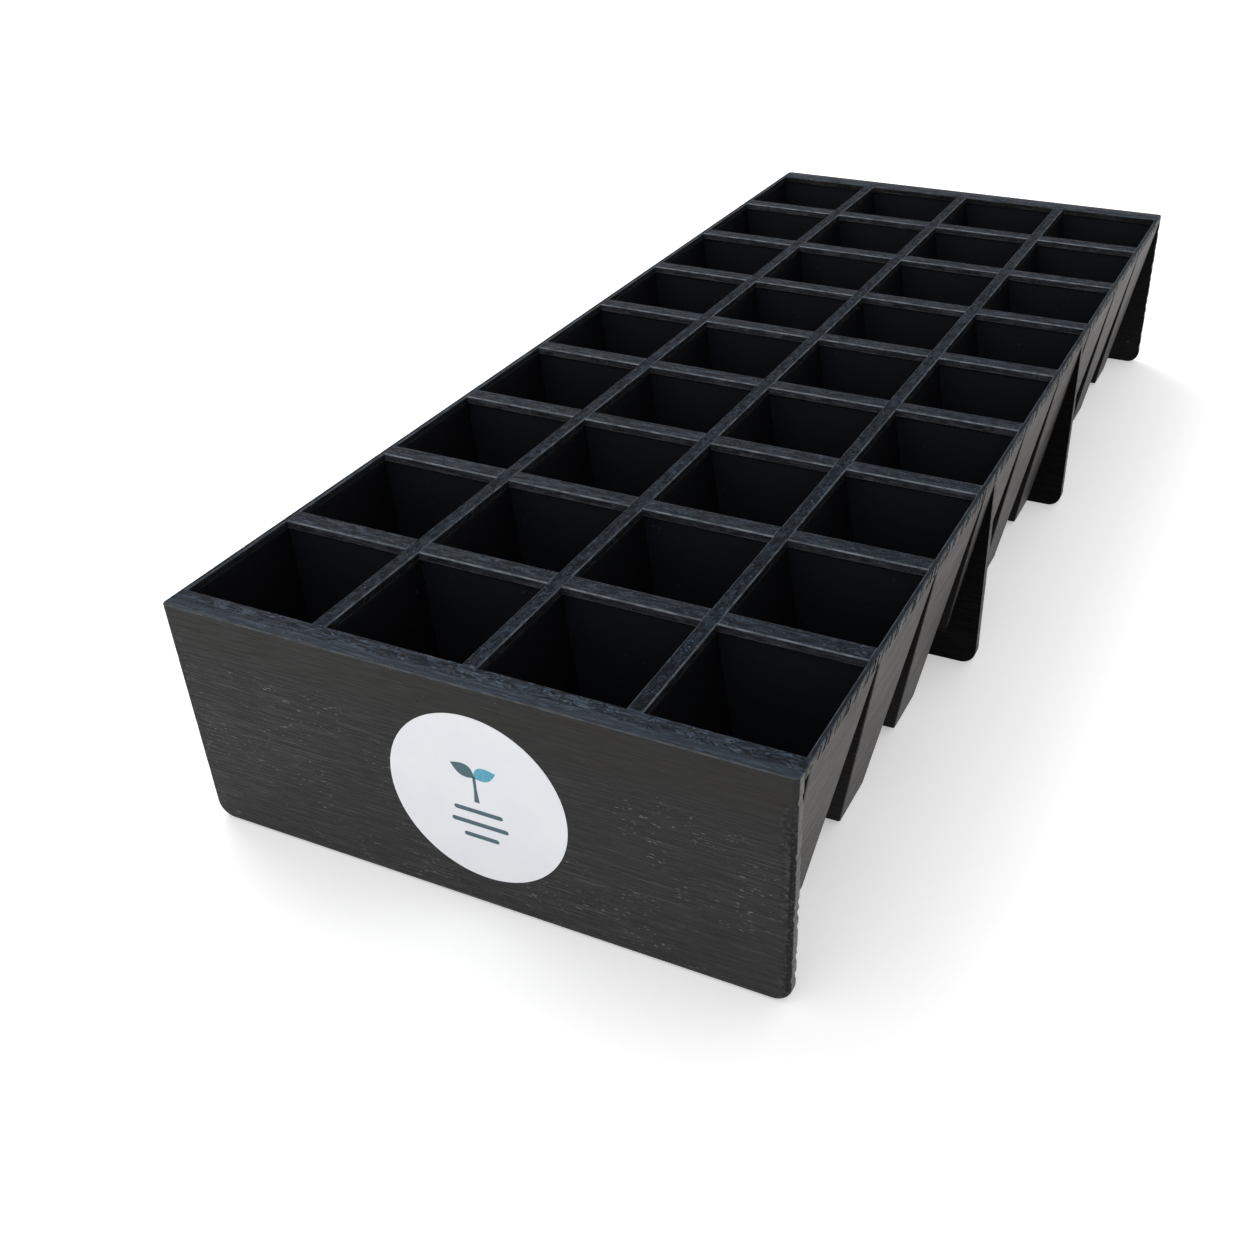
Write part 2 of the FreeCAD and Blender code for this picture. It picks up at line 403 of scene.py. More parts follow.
@dataclass(frozen=True)
class SawnPlastic:
    """Recycled black plastic with sawn faces.

    Top faces, front and back faces, and side faces each have a colour of their own: painted light,
    lit and shaded copies of one plastic that stand for how the light falls on each face.
    """

    name: str
    run: Run
    # top, face and side: painted light, lit and shaded copies of one plastic
    top: Colour
    face: Colour
    side: Colour
    dark_share: float = 0.62       # a dark streak's colour, as a share of the plain one
    pale_share: float = 2.0        # a pale vein's colour, likewise
    patch_amount: float = 0.35
    vein_amount: float = 0.5       # on top faces
    upright_vein: float = 0.3
    scratch_amount: float = 0.3
    dash_amount: float = 0.6
    streak_length: float = 14 * MM
    streak_width: float = 0.9 * MM
    edge_width: float = 0.5 * MM
    # paler edges: partly wear, partly a painted highlight
    edge_wear_highlight: Colour = (0.160, 0.190, 0.220)
    edge_amount: float = 0.8
    fleck_amount: float = 0.05
    fleck_spacing: float = 2.2 * MM
    fleck_colour: Colour = (0.14, 0.15, 0.16)
    bump: float = 0.6
    bump_depth: float = 0.2 * MM
    smooth_rough: float = 0.42
    coarse_rough: float = 0.62
    gloss: float = 0.08

    def coordinates(self, wiring: Wiring, surface: Surface) -> Socket:
        """Stretch the coordinates along the saw's run.

        Args:
            wiring: The material's wiring.
            surface: The point to colour.

        Returns:
            Coordinates in which one unit is one streak, its length first.
        """
        long = 1.0 / self.streak_length
        short = 1.0 / self.streak_width
        across = wiring.add("CombineXYZ")
        along = wiring.add("CombineXYZ")
        for node, first, second in ((across, surface.x, surface.y), (along, surface.y, surface.x)):
            wiring.feed(node.inputs[0], wiring.math("MULTIPLY", first, long))
            wiring.feed(node.inputs[1], wiring.math("MULTIPLY", surface.z, short))
            wiring.feed(node.inputs[2], wiring.math("MULTIPLY", second, short))
        if self.run is Run.ACROSS:
            return across.outputs[0]
        if self.run is Run.ALONG:
            return along.outputs[0]
        return wiring.blend_vectors(surface.sideways, across.outputs[0], along.outputs[0])

    def upright_colour(self, wiring: Wiring, surface: Surface) -> Socket:
        """Choose the colour of an upright face.

        Args:
            wiring: The material's wiring.
            surface: The point to colour.

        Returns:
            The colour.
        """
        return wiring.blend(surface.sideways, self.face, self.side)

    def extra(self, wiring: Wiring, effects: Effects, surface: Surface, colour: Socket,
              height: Socket) -> tuple[Socket, Socket]:
        """Add what only some pieces have; the plain finish adds nothing.

        Args:
            wiring: The material's wiring.
            effects: The shared effects.
            surface: The point to colour.
            colour: The colour so far.
            height: The bump height so far.

        Returns:
            The colour and the bump height.
        """
        return colour, height

    def grained(self, wiring: Wiring, surface: Surface, grain: Outputs,
                plain: Socket) -> tuple[Socket, Socket]:
        """Work the grain into a colour.

        Args:
            wiring: The material's wiring.
            surface: The point to colour.
            grain: The grain effect's outputs.
            plain: The colour without grain.

        Returns:
            The grained colour and the bump height that goes with it.
        """
        dark = wiring.vector("SCALE", plain, factor=self.dark_share)
        pale = wiring.vector("SCALE", plain, factor=self.pale_share)
        colour = wiring.blend(grain["Streak"], dark, plain)
        vein_amount = wiring.math("MULTIPLY_ADD", surface.upward,
                                  self.vein_amount - self.upright_vein, self.upright_vein)
        # Patches and scratches are paler plastic; the pale of the veins is a painted highlight on
        # their ridges.
        for name, amount in (("Patch", self.patch_amount), ("Vein", vein_amount),
                             ("Scratch", self.scratch_amount)):
            colour = wiring.blend(wiring.math("MULTIPLY", grain[name], amount), colour, pale)
        # Painted shade in the creases; the dashes are dark grain.
        deep = wiring.vector("SCALE", plain, factor=self.dark_share ** 2)
        for name, amount in (("Crease", vein_amount), ("Dash", self.dash_amount)):
            colour = wiring.blend(wiring.math("MULTIPLY", grain[name], amount), colour, deep)
        height = wiring.math("MULTIPLY_ADD", grain["Vein"], 0.5, grain["Streak"])
        height = wiring.math("MULTIPLY_ADD", grain["Scratch"], 0.4, height)
        return colour, wiring.math("MULTIPLY_ADD", grain["Dash"], -0.8, height)

    def flecked(self, wiring: Wiring, effects: Effects, surface: Surface, colour: Socket,
                height: Socket) -> tuple[Socket, Socket]:
        """Scatter specks and pits over a surface; see extra for what goes in and out."""
        flecks = wiring.place(effects.flecks.group, Coordinates=surface.place,
                              Spacing=self.fleck_spacing, Amount=self.fleck_amount)
        # painted shade in the pits
        pit_shade = tuple(part * 0.25 for part in self.face)
        colour = wiring.blend(wiring.math("MULTIPLY", flecks["Pit"], 0.7), colour, pit_shade)
        colour = wiring.blend(wiring.math("MULTIPLY", flecks["Speck"], 0.6), colour,
                              self.fleck_colour)
        return colour, wiring.math("MULTIPLY_ADD", flecks["Pit"], -1.0, height)

    def material(self, effects: Effects) -> bpy.types.Material:
        """Build the material.

        Args:
            effects: The shared effects.

        Returns:
            The finished material.
        """
        material = bpy.data.materials.new(self.name)
        material.use_nodes = True
        wiring = Wiring(material.node_tree)
        shader = material.node_tree.nodes["Principled BSDF"]
        surface = Surface(wiring)
        plain = wiring.blend(surface.upward, self.upright_colour(wiring, surface), self.top)
        grain = wiring.place(effects.grain.group, Coordinates=self.coordinates(wiring, surface))
        colour, height = self.grained(wiring, surface, grain, plain)
        colour, height = self.extra(wiring, effects, surface, colour, height)
        colour, height = self.flecked(wiring, effects, surface, colour, height)
        edge = wiring.place(effects.edge.group, Coordinates=surface.place, Width=self.edge_width,
                            Breaks=160.0, Eased=surface.eased)
        # The edges and eased faces are painted paler: partly wear, partly a painted highlight.
        worn_highlit = wiring.math("MULTIPLY", edge["Mask"], self.edge_amount)
        colour = wiring.blend(worn_highlit, colour, self.edge_wear_highlight)

        bump = wiring.add("Bump")
        wiring.feed(bump.inputs["Strength"], self.bump)
        wiring.feed(bump.inputs["Distance"], self.bump_depth)
        wiring.feed(bump.inputs["Height"], height)
        rough = wiring.remap(grain["Streak"], 0.0, 1.0, self.coarse_rough, self.smooth_rough)
        wiring.feed(shader.inputs["Base Color"], colour)
        wiring.feed(shader.inputs["Roughness"], rough)
        wiring.feed(shader.inputs["Specular IOR Level"], self.gloss)
        wiring.feed(shader.inputs["Normal"], bump.outputs[0])
        return material


@dataclass(frozen=True)
class PlatePlastic(SawnPlastic):
    """Plate finish: smoother and warmer near the top, pitted down its side edges.

    The face that looks under the tray is painted near black as shade.
    """

    # painted shade on the face that looks under the tray
    inner: Colour = (0.0030, 0.0030, 0.0034)
    glint: Colour = (0.125, 0.130, 0.138)
    warm: Colour = (0.0248, 0.0234, 0.0222)
    warm_from: float = 70 * MM     # heights between which the warm band fades in
    warm_to: float = 82 * MM
    warm_drift: float = 14 * MM    # how far its lower edge wanders
    warm_scale: float = 14.0       # wanders to the metre
    warm_amount: float = 0.8
    glint_scale: tuple[float, float, float] = (420.0, 1700.0, 1700.0)   # glints to the metre
    glint_patch_scale: float = 38.0
    pitted_from: float = 7.0 * MM  # in from the tray's side, where the pits begin
    pitted_to: float = 3.5 * MM    # and where they are densest
    pitted_below: float = 82 * MM
    pit_scale: float = 700.0       # pits to the metre

    def upright_colour(self, wiring: Wiring, surface: Surface) -> Socket:
        """Paint shade on the rounded upright edges between the front or back and the sides, shade
        on the face that looks under the tray, and a pale reflection on the side faces.
        """
        turned = wiring.math("ABSOLUTE", surface.across)
        # painted shade on the rounded edges, which turn away from the light
        rounded = wiring.vector("SCALE", self.face, factor=0.4)
        colour = wiring.blend(wiring.remap(turned, 0.05, 0.2), self.face, rounded)
        colour = wiring.blend(surface.inner_end, colour, self.inner)
        # painted reflection: the pale colour of the side faces
        return wiring.blend(wiring.remap(turned, 0.85, 0.96), colour, self.side)

    def extra(self, wiring: Wiring, effects: Effects, surface: Surface, colour: Socket,
              height: Socket) -> tuple[Socket, Socket]:
        """Lay the warm band, the glints and the edge pits; see the plain finish for the rest."""
        outer_end = wiring.math("MULTIPLY", surface.endways,
                                wiring.math("SUBTRACT", 1.0, surface.inner_end))
        band = self.warm_band(wiring, surface, outer_end)
        colour = wiring.blend(wiring.math("MULTIPLY", band, self.warm_amount), colour, self.warm)
        height = wiring.math("MULTIPLY", height, wiring.math("MULTIPLY_ADD", band, -0.75, 1.0))
        glints = wiring.math("MULTIPLY", self.glints(wiring, surface, band), outer_end)
        colour = wiring.blend(glints, colour, self.glint)
        return self.pitted(wiring, surface, outer_end, colour, height)

    def warm_band(self, wiring: Wiring, surface: Surface, outer_end: Socket) -> Socket:
        """Find the warm band near the top of the outer face.

        Args:
            wiring: The material's wiring.
            surface: The point to colour.
            outer_end: 1 on the plate's outer face and 0 elsewhere.

        Returns:
            How much of the band shows.
        """
        drift = wiring.noise(surface.place, self.warm_scale, 2.0)
        level = wiring.math("MULTIPLY_ADD", drift, self.warm_drift, surface.z)
        return wiring.math("MULTIPLY", wiring.remap(level, self.warm_from, self.warm_to),
                           outer_end)

    def glints(self, wiring: Wiring, surface: Surface, band: Socket) -> Socket:
        """Find the painted glints, highlights on small nicks, which lie in patches below the warm
        band.

        Args:
            wiring: The material's wiring.
            surface: The point to colour.
            band: How much of the warm band shows.

        Returns:
            How bright the painted glint is here.
        """
        spread = wiring.vector("MULTIPLY", surface.place, self.glint_scale)
        nick = wiring.remap(wiring.noise(spread, 1.0, 1.0), 0.67, 0.73)
        patch = wiring.remap(wiring.noise(surface.place, self.glint_patch_scale, 2.0), 0.44, 0.58)
        return wiring.math("MULTIPLY", wiring.math("MULTIPLY", nick, patch),
                           wiring.remap(band, 0.4, 0.0))

    def pitted(self, wiring: Wiring, surface: Surface, outer_end: Socket, colour: Socket,
               height: Socket) -> tuple[Socket, Socket]:
        """Sink pits into the outer face, along its side edges, with painted shade in each pit and a
        painted highlight on its rim.

        Args:
            wiring: The material's wiring.
            surface: The point to colour.
            outer_end: 1 on the plate's outer face and 0 elsewhere.
            colour: The colour so far.
            height: The bump height so far.

        Returns:
            The colour and the bump height.
        """
        half_width = float(CAD_BOX[1][0])
        away = wiring.math("SUBTRACT", half_width, wiring.math("ABSOLUTE", surface.x))
        near = wiring.math("MULTIPLY", wiring.remap(away, self.pitted_from, self.pitted_to),
                           wiring.remap(surface.z, self.pitted_below, self.pitted_below * 0.9))
        near = wiring.math("MULTIPLY", near, outer_end)
        rough = wiring.noise(surface.place, self.pit_scale, 3.0)
        pits = wiring.math("MULTIPLY", wiring.remap(rough, 0.54, 0.58), near)
        rim_highlights = wiring.math("MULTIPLY", wiring.remap(rough, 0.43, 0.39), near)
        # painted shade in the pits and a painted highlight on their rims
        pit_shade = wiring.vector("SCALE", self.face, factor=0.35)
        rim = wiring.vector("SCALE", self.face, factor=1.9)
        colour = wiring.blend(wiring.math("MULTIPLY", rim_highlights, 0.6), colour, rim)
        colour = wiring.blend(wiring.math("MULTIPLY", pits, 0.75), colour, pit_shade)
        return colour, wiring.math("MULTIPLY_ADD", pits, -2.5, height)


@dataclass(frozen=True)
class CupPlastic(SawnPlastic):
    """Cup finish: near black inside, with the inside of its side walls painted darker as shade; the
    outside of its side walls is painted paler as a reflection, and the outside of its front and
    back walls near black as the shade in the slits.
    """

    # painted reflection on the outside of the side walls
    outside: Colour = (0.078, 0.072, 0.069)
    # painted shade: near black in the slits between the cups
    slit_shade: Colour = (0.0015, 0.0015, 0.0017)   # the outside of the front and back walls
    inside_grain: float = 0.12
    dim_from: float = 10 * MM
    dim_to: float = 72 * MM
    dim_share: float = 0.72

    @property
    def pitch(self) -> float:
        """Distance from one cell to the next, measured between two cups of the frame."""
        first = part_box("cup_row1_column1")
        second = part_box("cup_row2_column1")
        return second[0].y - first[0].y

    def outward(self, wiring: Wiring, surface: Surface) -> Socket:
        """Tell a wall's outside: it looks away from the middle of its cell.

        Args:
            wiring: The material's wiring.
            surface: The point to colour.

        Returns:
            1 on the outside of a wall and 0 on its inside.
        """
        shifted = wiring.vector("ADD", surface.place, self.shift())
        cell = wiring.vector("MODULO", shifted, (self.pitch, self.pitch, 1.0))
        middle = wiring.vector("SUBTRACT", cell, (self.pitch / 2, self.pitch / 2, 0.0))
        level = wiring.vector("MULTIPLY", middle, (1.0, 1.0, 0.0))
        return wiring.math("GREATER_THAN", wiring.vector("DOT_PRODUCT", level, surface.normal), 0.0)

    def upright_colour(self, wiring: Wiring, surface: Surface) -> Socket:
        """Paint a pale reflection on the outside of the side walls, dimmer towards the ground, and
        shade on the outside of the front and back walls and the inside of the side walls.
        """
        light = wiring.remap(surface.z, self.dim_from, self.dim_to, self.dim_share, 1.0)
        outside = wiring.vector("SCALE", self.outside, factor=light)
        outside = wiring.blend(surface.sideways, self.slit_shade, outside)
        # painted shade: the inside of the side walls is darker than the inside of the front and
        # back walls
        inside = wiring.blend(surface.sideways, self.face, self.side)
        return wiring.blend(self.outward(wiring, surface), inside, outside)

    def grained(self, wiring: Wiring, surface: Surface, grain: Outputs,
                plain: Socket) -> tuple[Socket, Socket]:
        """Keep most of the grain for the outside of the side walls."""
        colour, height = super().grained(wiring, surface, grain, plain)
        share = wiring.remap(self.outward(wiring, surface), 0.0, 1.0, self.inside_grain, 1.0)
        return wiring.blend(share, plain, colour), wiring.math("MULTIPLY", height, share)

    def shift(self) -> tuple[float, float, float]:
        """Move the origin to a corner of the cells, with room for every coordinate above 0."""
        low, _ = CAD_BOX
        corner = [math.ceil(-edge / self.pitch) * self.pitch for edge in (low[0], low[1])]
        return corner[0], corner[1] + self.pitch / 2, 0.0


@dataclass(frozen=True)
class EdgeRailPlastic(SawnPlastic):
    """Side rail finish: a pale painted reflection on the outer face, painted shade on the inner
    face, and painted shade inside the saw nicks.
    """

    # painted shade on the inner face
    inner: Colour = (0.014, 0.015, 0.018)
    # painted shade inside the saw nicks
    nick: Colour = (0.004, 0.004, 0.005)

    def upright_colour(self, wiring: Wiring, surface: Surface) -> Socket:
        """Keep the pale painted reflection for the outer face, and painted shade for the inner
        face.
        """
        walls = wiring.blend(surface.outer, self.inner, self.side)
        return wiring.blend(surface.sideways, self.face, walls)

    def extra(self, wiring: Wiring, effects: Effects, surface: Surface, colour: Socket,
              height: Socket) -> tuple[Socket, Socket]:
        """Paint shade on the slanted walls of the nicks; see the plain finish for the rest."""
        slanted = wiring.remap(surface.turned, 0.2, 0.35)
        nick_shade_mask = wiring.math("MULTIPLY", slanted, surface.sideways)
        return wiring.blend(wiring.math("MULTIPLY", nick_shade_mask, 0.95), colour, self.nick), height


@dataclass(frozen=True)
class LabelPaper:
    """Coated white label stock with faint fibres and a soft sheen; its rolled rim is painted
    brighter as a highlight.
    """

    name: str = "label_paper"
    sheet: Colour = (0.755, 0.770, 0.805)
    shade: Colour = (0.725, 0.740, 0.780)
    # painted highlight on the rolled rim
    rim: Colour = (0.93, 0.95, 0.98)
    fibre_scale: float = 900.0     # fibres to the metre
    cloud_scale: float = 60.0
    bump: float = 0.12
    bump_depth: float = 0.05 * MM

    def material(self) -> bpy.types.Material:
        """Build the material."""
        material = bpy.data.materials.new(self.name)
        material.use_nodes = True
        wiring = Wiring(material.node_tree)
        shader = material.node_tree.nodes["Principled BSDF"]
        place = wiring.add("TexCoord").outputs["Object"]
        fibres = wiring.noise(place, self.fibre_scale, 4.0, 0.65)
        clouds = wiring.noise(place, self.cloud_scale)
        share = wiring.remap(wiring.math("MULTIPLY_ADD", fibres, 0.4, clouds), 0.5, 0.9)
        colour = wiring.blend(share, self.shade, self.sheet)
        _, along, _ = wiring.split(wiring.add("NewGeometry").outputs["True Normal"])
        # painted highlight on the rim faces that turn away from the label's face
        rolled = wiring.remap(wiring.math("ABSOLUTE", along), 0.995, 0.96)
        wiring.feed(shader.inputs["Base Color"], wiring.blend(rolled, colour, self.rim))
        wiring.feed(shader.inputs["Roughness"], wiring.remap(fibres, 0.3, 0.7, 0.38, 0.52))
        bump = wiring.add("Bump")
        wiring.feed(bump.inputs["Strength"], self.bump)
        wiring.feed(bump.inputs["Distance"], self.bump_depth)
        wiring.feed(bump.inputs["Height"], fibres)
        wiring.feed(shader.inputs["Normal"], bump.outputs[0])
        return material


@dataclass(frozen=True)
class PrintInk:
    """Printed ink, a little uneven where it soaked in."""

    name: str
    ink: Colour
    soak_scale: float = 1400.0     # blotches to the metre

    def material(self) -> bpy.types.Material:
        """Build the material."""
        material = bpy.data.materials.new(self.name)
        material.use_nodes = True
        wiring = Wiring(material.node_tree)
        shader = material.node_tree.nodes["Principled BSDF"]
        place = wiring.add("TexCoord").outputs["Object"]
        soak = wiring.noise(place, self.soak_scale, 3.0, 0.6)
        thin = tuple(min(1.0, part * 1.5 + 0.02) for part in self.ink)
        share = wiring.remap(soak, 0.45, 0.75)
        wiring.feed(shader.inputs["Base Color"], wiring.blend(share, self.ink, thin))
        wiring.feed(shader.inputs["Roughness"], wiring.remap(soak, 0.3, 0.7, 0.4, 0.55))
        return material


# ---------------------------------------------------------------------------------------------
# Sub-assemblies
# ---------------------------------------------------------------------------------------------


def dress_node(name: str, material: bpy.types.Material) -> None:
    """Give a frame node its finish.

    Args:
        name: The node's name.
        material: Its finish, which goes in every material slot.
    """
    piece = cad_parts[name]
    for slot in piece.material_slots:
        slot.material = material
    LOG.info("dressed %s in %s", name, material.name)


@dataclass
class Uprights:
    """The two end plates and the two middle plates."""

    ends: tuple[str, ...] = ("front_plate", "back_plate")
    middles: tuple[str, ...] = ("middle_plate_front", "middle_plate_back")
    end_finish: PlatePlastic = PlatePlastic(
        name="brushed_plate", run=Run.ACROSS,
        # side: a painted reflection on the plates' side faces
        top=(0.0165, 0.0248, 0.0365), face=(0.0285, 0.0285, 0.0295), side=(0.140, 0.138, 0.136),
        dark_share=0.84, pale_share=2.1, patch_amount=0.06, vein_amount=1.0, upright_vein=0.0,
        scratch_amount=0.9, dash_amount=0.3, streak_length=16 * MM, streak_width=0.7 * MM,
        edge_wear_highlight=(0.150, 0.165, 0.180), edge_amount=0.5, gloss=0.1)
    middle_finish: SawnPlastic = SawnPlastic(
        name="under_plate", run=Run.AROUND,
        # painted shade: near-black faces under the tray; side is a painted reflection
        top=(0.01, 0.011, 0.012), face=(0.0022, 0.0022, 0.0026), side=(0.09, 0.087, 0.085),
        edge_amount=0.1, fleck_amount=0.02, gloss=0.04)

    def dress(self, effects: Effects) -> None:
        """Give the plates their finishes."""
        brushed = self.end_finish.material(effects)
        under = self.middle_finish.material(effects)
        for name in self.ends:
            dress_node(name, brushed)
        for name in self.middles:
            dress_node(name, under)


@dataclass
class TopGrid:
    """The rails and ribs that make the grid on top."""

    rail_finish: SawnPlastic = SawnPlastic(
        name="end_rail_plastic", run=Run.ACROSS,
        # side: a painted reflection on the end rails' side faces
        top=(0.0190, 0.0265, 0.0370), face=(0.024, 0.024, 0.025), side=(0.100, 0.098, 0.096),
        dark_share=0.45, pale_share=2.8, streak_length=9 * MM, streak_width=1.3 * MM,
        vein_amount=1.0, edge_amount=0.3, gloss=0.05)
    cross_finish: SawnPlastic = SawnPlastic(
        name="cross_rib_plastic", run=Run.ACROSS,
        top=(0.0120, 0.0178, 0.0258), face=(0.039, 0.043, 0.050), side=(0.03, 0.03, 0.03),
        dark_share=0.5, pale_share=3.0, streak_length=6 * MM, streak_width=1.2 * MM,
        vein_amount=0.9, edge_wear_highlight=(0.200, 0.232, 0.265), edge_amount=0.9, gloss=0.05)
    long_finish: SawnPlastic = SawnPlastic(
        name="long_rib_plastic", run=Run.ALONG,
        top=(0.0088, 0.0137, 0.0205), face=(0.018, 0.018, 0.02), side=(0.012, 0.013, 0.015),
        dark_share=0.45, pale_share=3.2, streak_length=3.5 * MM, streak_width=1.6 * MM,
        vein_amount=1.0, edge_amount=0.6, gloss=0.03)
    side_finish: EdgeRailPlastic = EdgeRailPlastic(
        name="side_rail_plastic", run=Run.ALONG,
        # side: a painted reflection on the side rails' outer faces
        top=(0.013, 0.018, 0.024), face=(0.05, 0.05, 0.05), side=(0.105, 0.101, 0.098),
        dark_share=0.5, pale_share=1.9, streak_length=8 * MM, streak_width=0.9 * MM,
        vein_amount=0.6, edge_amount=0.5, gloss=0.05)

    def dress(self, effects: Effects) -> None:
        """Give the rails and ribs their finishes."""
        finishes = {"end_rail": self.rail_finish, "cross": self.cross_finish,
                    "long": self.long_finish, "side": self.side_finish}
        built = {kind: finish.material(effects) for kind, finish in finishes.items()}
        for name in sorted(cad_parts):
            if name in ("front_rail", "back_rail"):
                dress_node(name, built["end_rail"])
            elif name in ("left_rail", "right_rail"):
                dress_node(name, built["side"])
            elif name.startswith("cross_rib_"):
                dress_node(name, built["cross"])
            elif name.startswith("long_rib_"):
                dress_node(name, built["long"])


@dataclass
class CupField:
    """The cell cups that hang under the grid."""

    finish: CupPlastic = CupPlastic(
        name="cup_plastic", run=Run.AROUND,
        # side: painted shade on the inside of the side walls
        top=(0.009, 0.010, 0.013), face=(0.0088, 0.0099, 0.0134), side=(0.0028, 0.0031, 0.0043),
        dark_share=0.65, pale_share=1.6, patch_amount=0.3, vein_amount=0.15,
        scratch_amount=0.5, dash_amount=0.9, streak_length=26 * MM, streak_width=1.2 * MM,
        edge_wear_highlight=(0.035, 0.037, 0.040), edge_amount=0.5, fleck_amount=0.04,
        fleck_colour=(0.05, 0.052, 0.058), bump=0.35, smooth_rough=0.5, coarse_rough=0.54,
        gloss=0.09)

    def dress(self, effects: Effects) -> None:
        """Give the cups their finish."""
        material = self.finish.material(effects)
        for name in sorted(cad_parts):
            if name.startswith("cup_"):
                dress_node(name, material)


@dataclass
class Emblem:
    """A plain seedling over three soil lines, with every place given from its middle."""

    leaf_length: float = 10.0 * MM
    leaf_width: float = 5.2 * MM
    leaf_rise: float = 34.0        # degrees above level
    leaf_droop: float = 0.18       # how far the tip hangs, as a share of the leaf's length
    stem_height: float = 10.0 * MM
    stem_width: float = 1.3 * MM
    base: float = -1.0 * MM        # foot of the stem, up from the middle of the label
    line_lengths: tuple[float, ...] = (18 * MM, 21 * MM, 13 * MM)
    line_width: float = 1.7 * MM
    line_pitch: float = 5.2 * MM
    leaf_steps: int = 18
    end_steps: int = 8             # round each end of a line

    def leaf(self, side: int) -> list[Vector]:
        """Outline of one leaf, from its stalk round its tip and back.

        Args:
            side: -1 for the left leaf and 1 for the right.

        Returns:
            Points across and up the label.
        """
        angle = math.radians(self.leaf_rise)
        ahead = Vector((side * math.cos(angle), math.sin(angle)))
        aside = Vector((-ahead.y, ahead.x))
        start = Vector((0.0, self.base + self.stem_height))
        edges = []
        for sign in (1, -1):
            edge = []
            for step in range(self.leaf_steps + 1):
                share = step / self.leaf_steps
                swell = math.sin(math.pi * share ** 0.8) * self.leaf_width / 2
                droop = self.leaf_droop * share * share * self.leaf_length
                point = start + ahead * share * self.leaf_length + aside * sign * swell
                edge.append(point - Vector((0.0, droop)))
            edges.append(edge)
        return edges[0] + edges[1][-2:0:-1]

    def bar(self, middle: Vector, length: float, width: float) -> list[Vector]:
        """Outline of a level bar with round ends.

        Args:
            middle: The bar's middle.
            length: Its length.
            width: Its width.

        Returns:
            Points across and up the label.
        """
        points = []
        for side in (1, -1):
            centre = middle + Vector((side * (length - width) / 2, 0.0))
            for step in range(self.end_steps + 1):
                turn = step / self.end_steps - 0.5 + (0.0 if side > 0 else 1.0)
                angle = math.pi * turn
                points.append(centre + Vector((math.cos(angle), math.sin(angle))) * width / 2)
        return points

    def stem(self) -> list[Vector]:
        """Outline of the stem, which tapers as it rises."""
        foot = self.stem_width * 0.75
        neck = self.stem_width * 0.42
        waist = self.base + self.stem_height * 0.5
        top = self.base + self.stem_height + 0.3 * MM
        return [Vector((-foot, self.base)), Vector((foot, self.base)), Vector((neck, waist)),
                Vector((neck, top)), Vector((-neck, top)), Vector((-neck, waist))]


